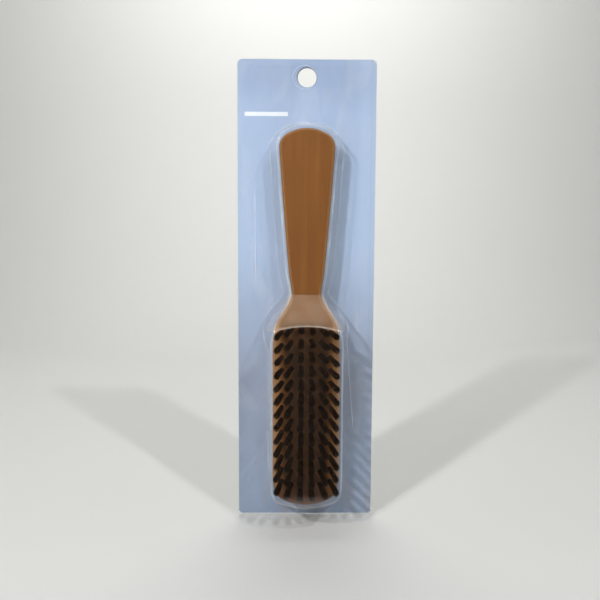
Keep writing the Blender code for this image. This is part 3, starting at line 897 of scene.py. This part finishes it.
def body_profile():
    """Inset and depth of the body's contours, from the middle of its back to its flat face."""
    back = body_high.y
    front = body_low.y
    rings = []
    for k in range(BACK_STEPS + 1):
        angle = math.radians(90 * k / BACK_STEPS)
        inset = BACK_ROUND * (1 - math.sin(angle))
        rings.append((inset, back - BACK_ROUND * (1 - math.cos(angle))))
    bevel = BODY_BEVEL
    rings += [(0.0, front + RIM_CHAMFER + RIM_SIDE), (0.0, front + RIM_CHAMFER + bevel),
              (bevel * 0.3, front + RIM_CHAMFER), (RIM_CHAMFER - bevel * 0.6, front + bevel * 0.5),
              (RIM_CHAMFER, front + bevel * 0.1), (RIM_CHAMFER + bevel, front)]
    return rings


def make_body():
    """The wooden body with its chamfered rim, rounded back and drilled face."""
    outline = half_outline()
    rings = [body_ring(outline, inset, y) for inset, y in body_profile()]
    count = len(rings[0])
    points = [p for ring in rings for p in ring]
    faces = []
    for i in range(len(rings) - 1):
        for j in range(count):
            k = (j + 1) % count
            faces.append((i * count + j, i * count + k, (i + 1) * count + k, (i + 1) * count + j))
    faces.append(tuple(reversed(range(count))))
    faces.append(tuple(range((len(rings) - 1) * count, len(rings) * count)))
    mesh = mesh_of("wooden_body", points, faces)
    weld(mesh, 0.001 * MM)
    body = mesh_object("wooden_body", mesh, wood_material())
    cut(body, tuft_drill())
    body.data.set_sharp_from_angle(angle=SHARP_ANGLE)
    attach(body, "brush")
    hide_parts("brush_body")


def tuft_base(row, column):
    """Where a tuft leaves the wood, and its direction."""
    off_centre = column - (TUFT_COLUMNS - 1) / 2
    share = (off_centre / (TUFT_COLUMNS - 1) * 2) ** 2
    first, last = [a + (b - a) * share for a, b in zip(MIDDLE_COLUMN_Z, EDGE_COLUMN_Z)]
    x = off_centre * COLUMN_PITCH
    z = first + (last - first) * row / (TUFT_ROWS - 1)
    flare = math.copysign(TUFT_FLARES[int(abs(off_centre))], off_centre)
    direction = Vector((flare, -1.0, -TUFT_DROOP)).normalized()
    return Vector((x, body_low.y, z)), direction


def tuft_drill():
    """All the tuft holes as one cutter."""
    bm = bmesh.new()
    for row in range(TUFT_ROWS):
        for column in range(TUFT_COLUMNS):
            base, direction = tuft_base(row, column)
            mesh = cylinder("drill", base - direction * TUFT_HOLE_DEPTH, direction,
                            TUFT_HOLE_DEPTH + DRILL_EXTRA, TUFT_HOLE_RADIUS, TUFT_HOLE_SIDES)
            bm.from_mesh(mesh)
            bpy.data.meshes.remove(mesh)
    mesh = bpy.data.meshes.new("tuft_drill")
    bm.to_mesh(mesh)
    bm.free()
    drill = bpy.data.objects.new("tuft_drill", mesh)
    bpy.context.scene.collection.objects.link(drill)
    return drill


def disc_points(count, rng):
    """Points spread evenly over a unit disc, each nudged a little."""
    turn = math.pi * (3 - math.sqrt(5))
    k = np.arange(count)
    radius = np.sqrt((k + 0.5) / count)
    angle = k * turn + rng.uniform(0, 2 * math.pi)
    points = np.stack([radius * np.cos(angle), radius * np.sin(angle)], 1)
    return points + rng.normal(0, DISC_NUDGE, points.shape)


def tuft_fibres(base, direction, strays, rng):
    """The bristles of one tuft as tapered tubes: arrays of points and faces."""
    aside = Vector((1, 0, 0)).cross(direction).normalized()
    across = direction.cross(aside).normalized()
    frame_axes = np.array([across, aside, direction])
    lean = rng.normal(0, TUFT_LEAN, 2)
    points = []
    faces = []
    for u, v in disc_points(FIBRES_PER_TUFT, rng):
        stray = rng.random() < strays
        spread = rng.normal(0, STRAY_SPREAD if stray else FIBRE_SPREAD, 2) + lean * 3
        bow = rng.normal(0, FIBRE_BOW, 2) * MM * (STRAY_BOW_TIMES if stray else 1)
        length = TUFT_LENGTH + rng.normal(*LENGTH_CHANGE) * MM
        heights = np.linspace(-BUNDLE_SINK, length, FIBRE_SEGMENTS + 1)
        share = np.clip(heights / TUFT_LENGTH, 0, 1)
        radius = BUNDLE_ROOT_RADIUS + (BUNDLE_TIP_RADIUS - BUNDLE_ROOT_RADIUS) * share**1.2
        arch = np.sin(math.pi * share)
        centre = np.stack([u * radius + spread[0] * MM * share**2 * 2 + bow[0] * arch,
                           v * radius + spread[1] * MM * share**2 * 2 + bow[1] * arch,
                           heights], 1)
        thickness = FIBRE_RADIUS * rng.uniform(0.8, 1.15) * np.interp(share, *FIBRE_TAPER)
        start = len(points) * FIBRE_SIDES * (FIBRE_SEGMENTS + 1)
        points.append(tube_points(centre, thickness, rng.uniform(0, math.pi)))
        faces += tube_faces(start)
    world = np.array(base) + np.concatenate(points) @ frame_axes
    world[:, 0] = np.clip(world[:, 0], -WIDEST_BRISTLE, WIDEST_BRISTLE)
    world[:, 1] = np.maximum(world[:, 1], tips_low.y - LONGEST_EXTRA)
    return world, faces


def tube_points(centre, thickness, turn):
    """Rings of points round a line of centres."""
    angles = turn + 2 * math.pi * np.arange(FIBRE_SIDES) / FIBRE_SIDES
    ring = np.stack([np.cos(angles), np.sin(angles), np.zeros(FIBRE_SIDES)], 1)
    return (centre[:, None, :] + thickness[:, None, None] * ring[None]).reshape(-1, 3)


def tube_faces(start):
    """The sides and both ends of the tube whose points begin at start."""
    faces = []
    for i in range(FIBRE_SEGMENTS):
        for j in range(FIBRE_SIDES):
            k = (j + 1) % FIBRE_SIDES
            low = start + i * FIBRE_SIDES
            high = low + FIBRE_SIDES
            faces.append((low + j, low + k, high + k, high + j))
    faces.append(tuple(start + j for j in reversed(range(FIBRE_SIDES))))
    faces.append(tuple(start + FIBRE_SEGMENTS * FIBRE_SIDES + j for j in range(FIBRE_SIDES)))
    return faces


def make_tufts():
    """Each row's tufts as one piece of separate bristles."""
    material = bristle_material()
    for row in range(TUFT_ROWS):
        rng = np.random.default_rng(SEED + row)
        strays = LOOSE_SHARE if row == TUFT_ROWS - 1 else STRAY_SHARE
        points = []
        faces = []
        count = 0
        for column in range(TUFT_COLUMNS):
            base, direction = tuft_base(row, column)
            some, their_faces = tuft_fibres(base, direction, strays, rng)
            faces += [tuple(v + count for v in face) for face in their_faces]
            points.append(some)
            count += len(some)
        mesh = bpy.data.meshes.new(f"bristles_{row + 1:02d}")
        mesh.from_pydata(np.concatenate(points).tolist(), [], faces)
        mesh.shade_smooth()
        tufts = mesh_object(f"bristles_{row + 1:02d}", mesh, material)
        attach(tufts, "brush")
        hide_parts(f"tuft_row_{row + 1:02d}")


def dress_cad():
    """Steel for the CAD nodes that stay: the hidden anchors."""
    steel = steel_material()
    for row in range(TUFT_ROWS):
        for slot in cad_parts[f"anchor_row_{row + 1:02d}"].material_slots:
            slot.material = steel


def make_camera():
    data = bpy.data.cameras.new("camera")
    data.lens = CAMERA_LENS
    data.sensor_width = CAMERA_SENSOR
    data.clip_start = CAMERA_CLIP
    camera = bpy.data.objects.new("camera", data)
    bpy.context.scene.collection.objects.link(camera)
    turn = Matrix.Rotation(math.radians(90), 4, "X")
    turn = turn @ Matrix.Rotation(math.radians(CAMERA_ROLL), 4, "Z")
    turn = turn @ Matrix.Rotation(math.radians(CAMERA_YAW), 4, "Y")
    turn = turn @ Matrix.Rotation(math.radians(CAMERA_PITCH), 4, "X")
    camera.matrix_world = Matrix.Translation(CAMERA_PLACE) @ turn
    bpy.context.scene.camera = camera


def make_stage():
    """A pale floor that curves up into a wall all round, nearest behind the pack."""
    floor_z = BOTTOM_Z - STAGE_DROP
    power = STAGE_ROUNDNESS
    points = [(0.0, 0.0, floor_z)]
    for i in range(STAGE_TURNS):
        angle = 2 * math.pi * i / STAGE_TURNS
        across, along = math.cos(angle), math.sin(angle)
        reach = ((max(along, 0.0) / STAGE_BACK) ** power + STAGE_REACH**-power) ** (-1 / power)
        for k in range(STAGE_CURVE + 1):
            lean = math.radians(90 * k / STAGE_CURVE)
            out = reach - STAGE_BEND * (1 - math.sin(lean))
            points.append((out * across, out * along, floor_z + STAGE_BEND * (1 - math.cos(lean))))
        points.append((reach * across, reach * along, floor_z + STAGE_HEIGHT))
    ring = STAGE_CURVE + 2
    faces = []
    for i in range(STAGE_TURNS):
        a = 1 + i * ring
        b = 1 + (i + 1) % STAGE_TURNS * ring
        faces.append((0, a, b))
        faces += [(a + k, a + k + 1, b + k + 1, b + k) for k in range(ring - 1)]
    floor = mesh_object("floor", mesh_of("floor", points, faces), floor_material())


def soft_light(name, place, size, power, aim):
    """A round lamp pointed at aim. Both places are measured from the pack's middle."""
    data = bpy.data.lights.new(name, "AREA")
    data.shape = "DISK"
    data.size = size
    data.energy = power
    lamp = bpy.data.objects.new(name, data)
    bpy.context.scene.collection.objects.link(lamp)
    middle = Vector((0, 0, (TOP_Z + BOTTOM_Z) / 2))
    lamp.location = middle + Vector(place)
    lamp.rotation_mode = "QUATERNION"
    lamp.rotation_quaternion = (Vector(aim) - Vector(place)).to_track_quat("-Z", "Y")


def make_lights():
    """The lamps, and a dim sky that is darkest straight in front of the pack."""
    for lamp in LAMPS:
        soft_light(*lamp)
    world = bpy.data.worlds.new("studio")
    world.use_nodes = True
    n = Nodes(world.node_tree)
    toward = n.parts(n.add("ShaderNodeTexCoord").outputs["Generated"])[1]
    strength = n.span(toward, -0.9, -0.6, 0.02, 0.105)
    background = world.node_tree.nodes["Background"]
    world.node_tree.links.new(strength, background.inputs["Strength"])
    background.inputs["Color"].default_value = SKY_COLOUR
    bpy.context.scene.world = world
    bpy.context.scene.view_settings.view_transform = "Standard"


make_camera()
make_stage()
make_lights()
dress_cad()
make_card()
make_body()
make_tufts()
make_film()
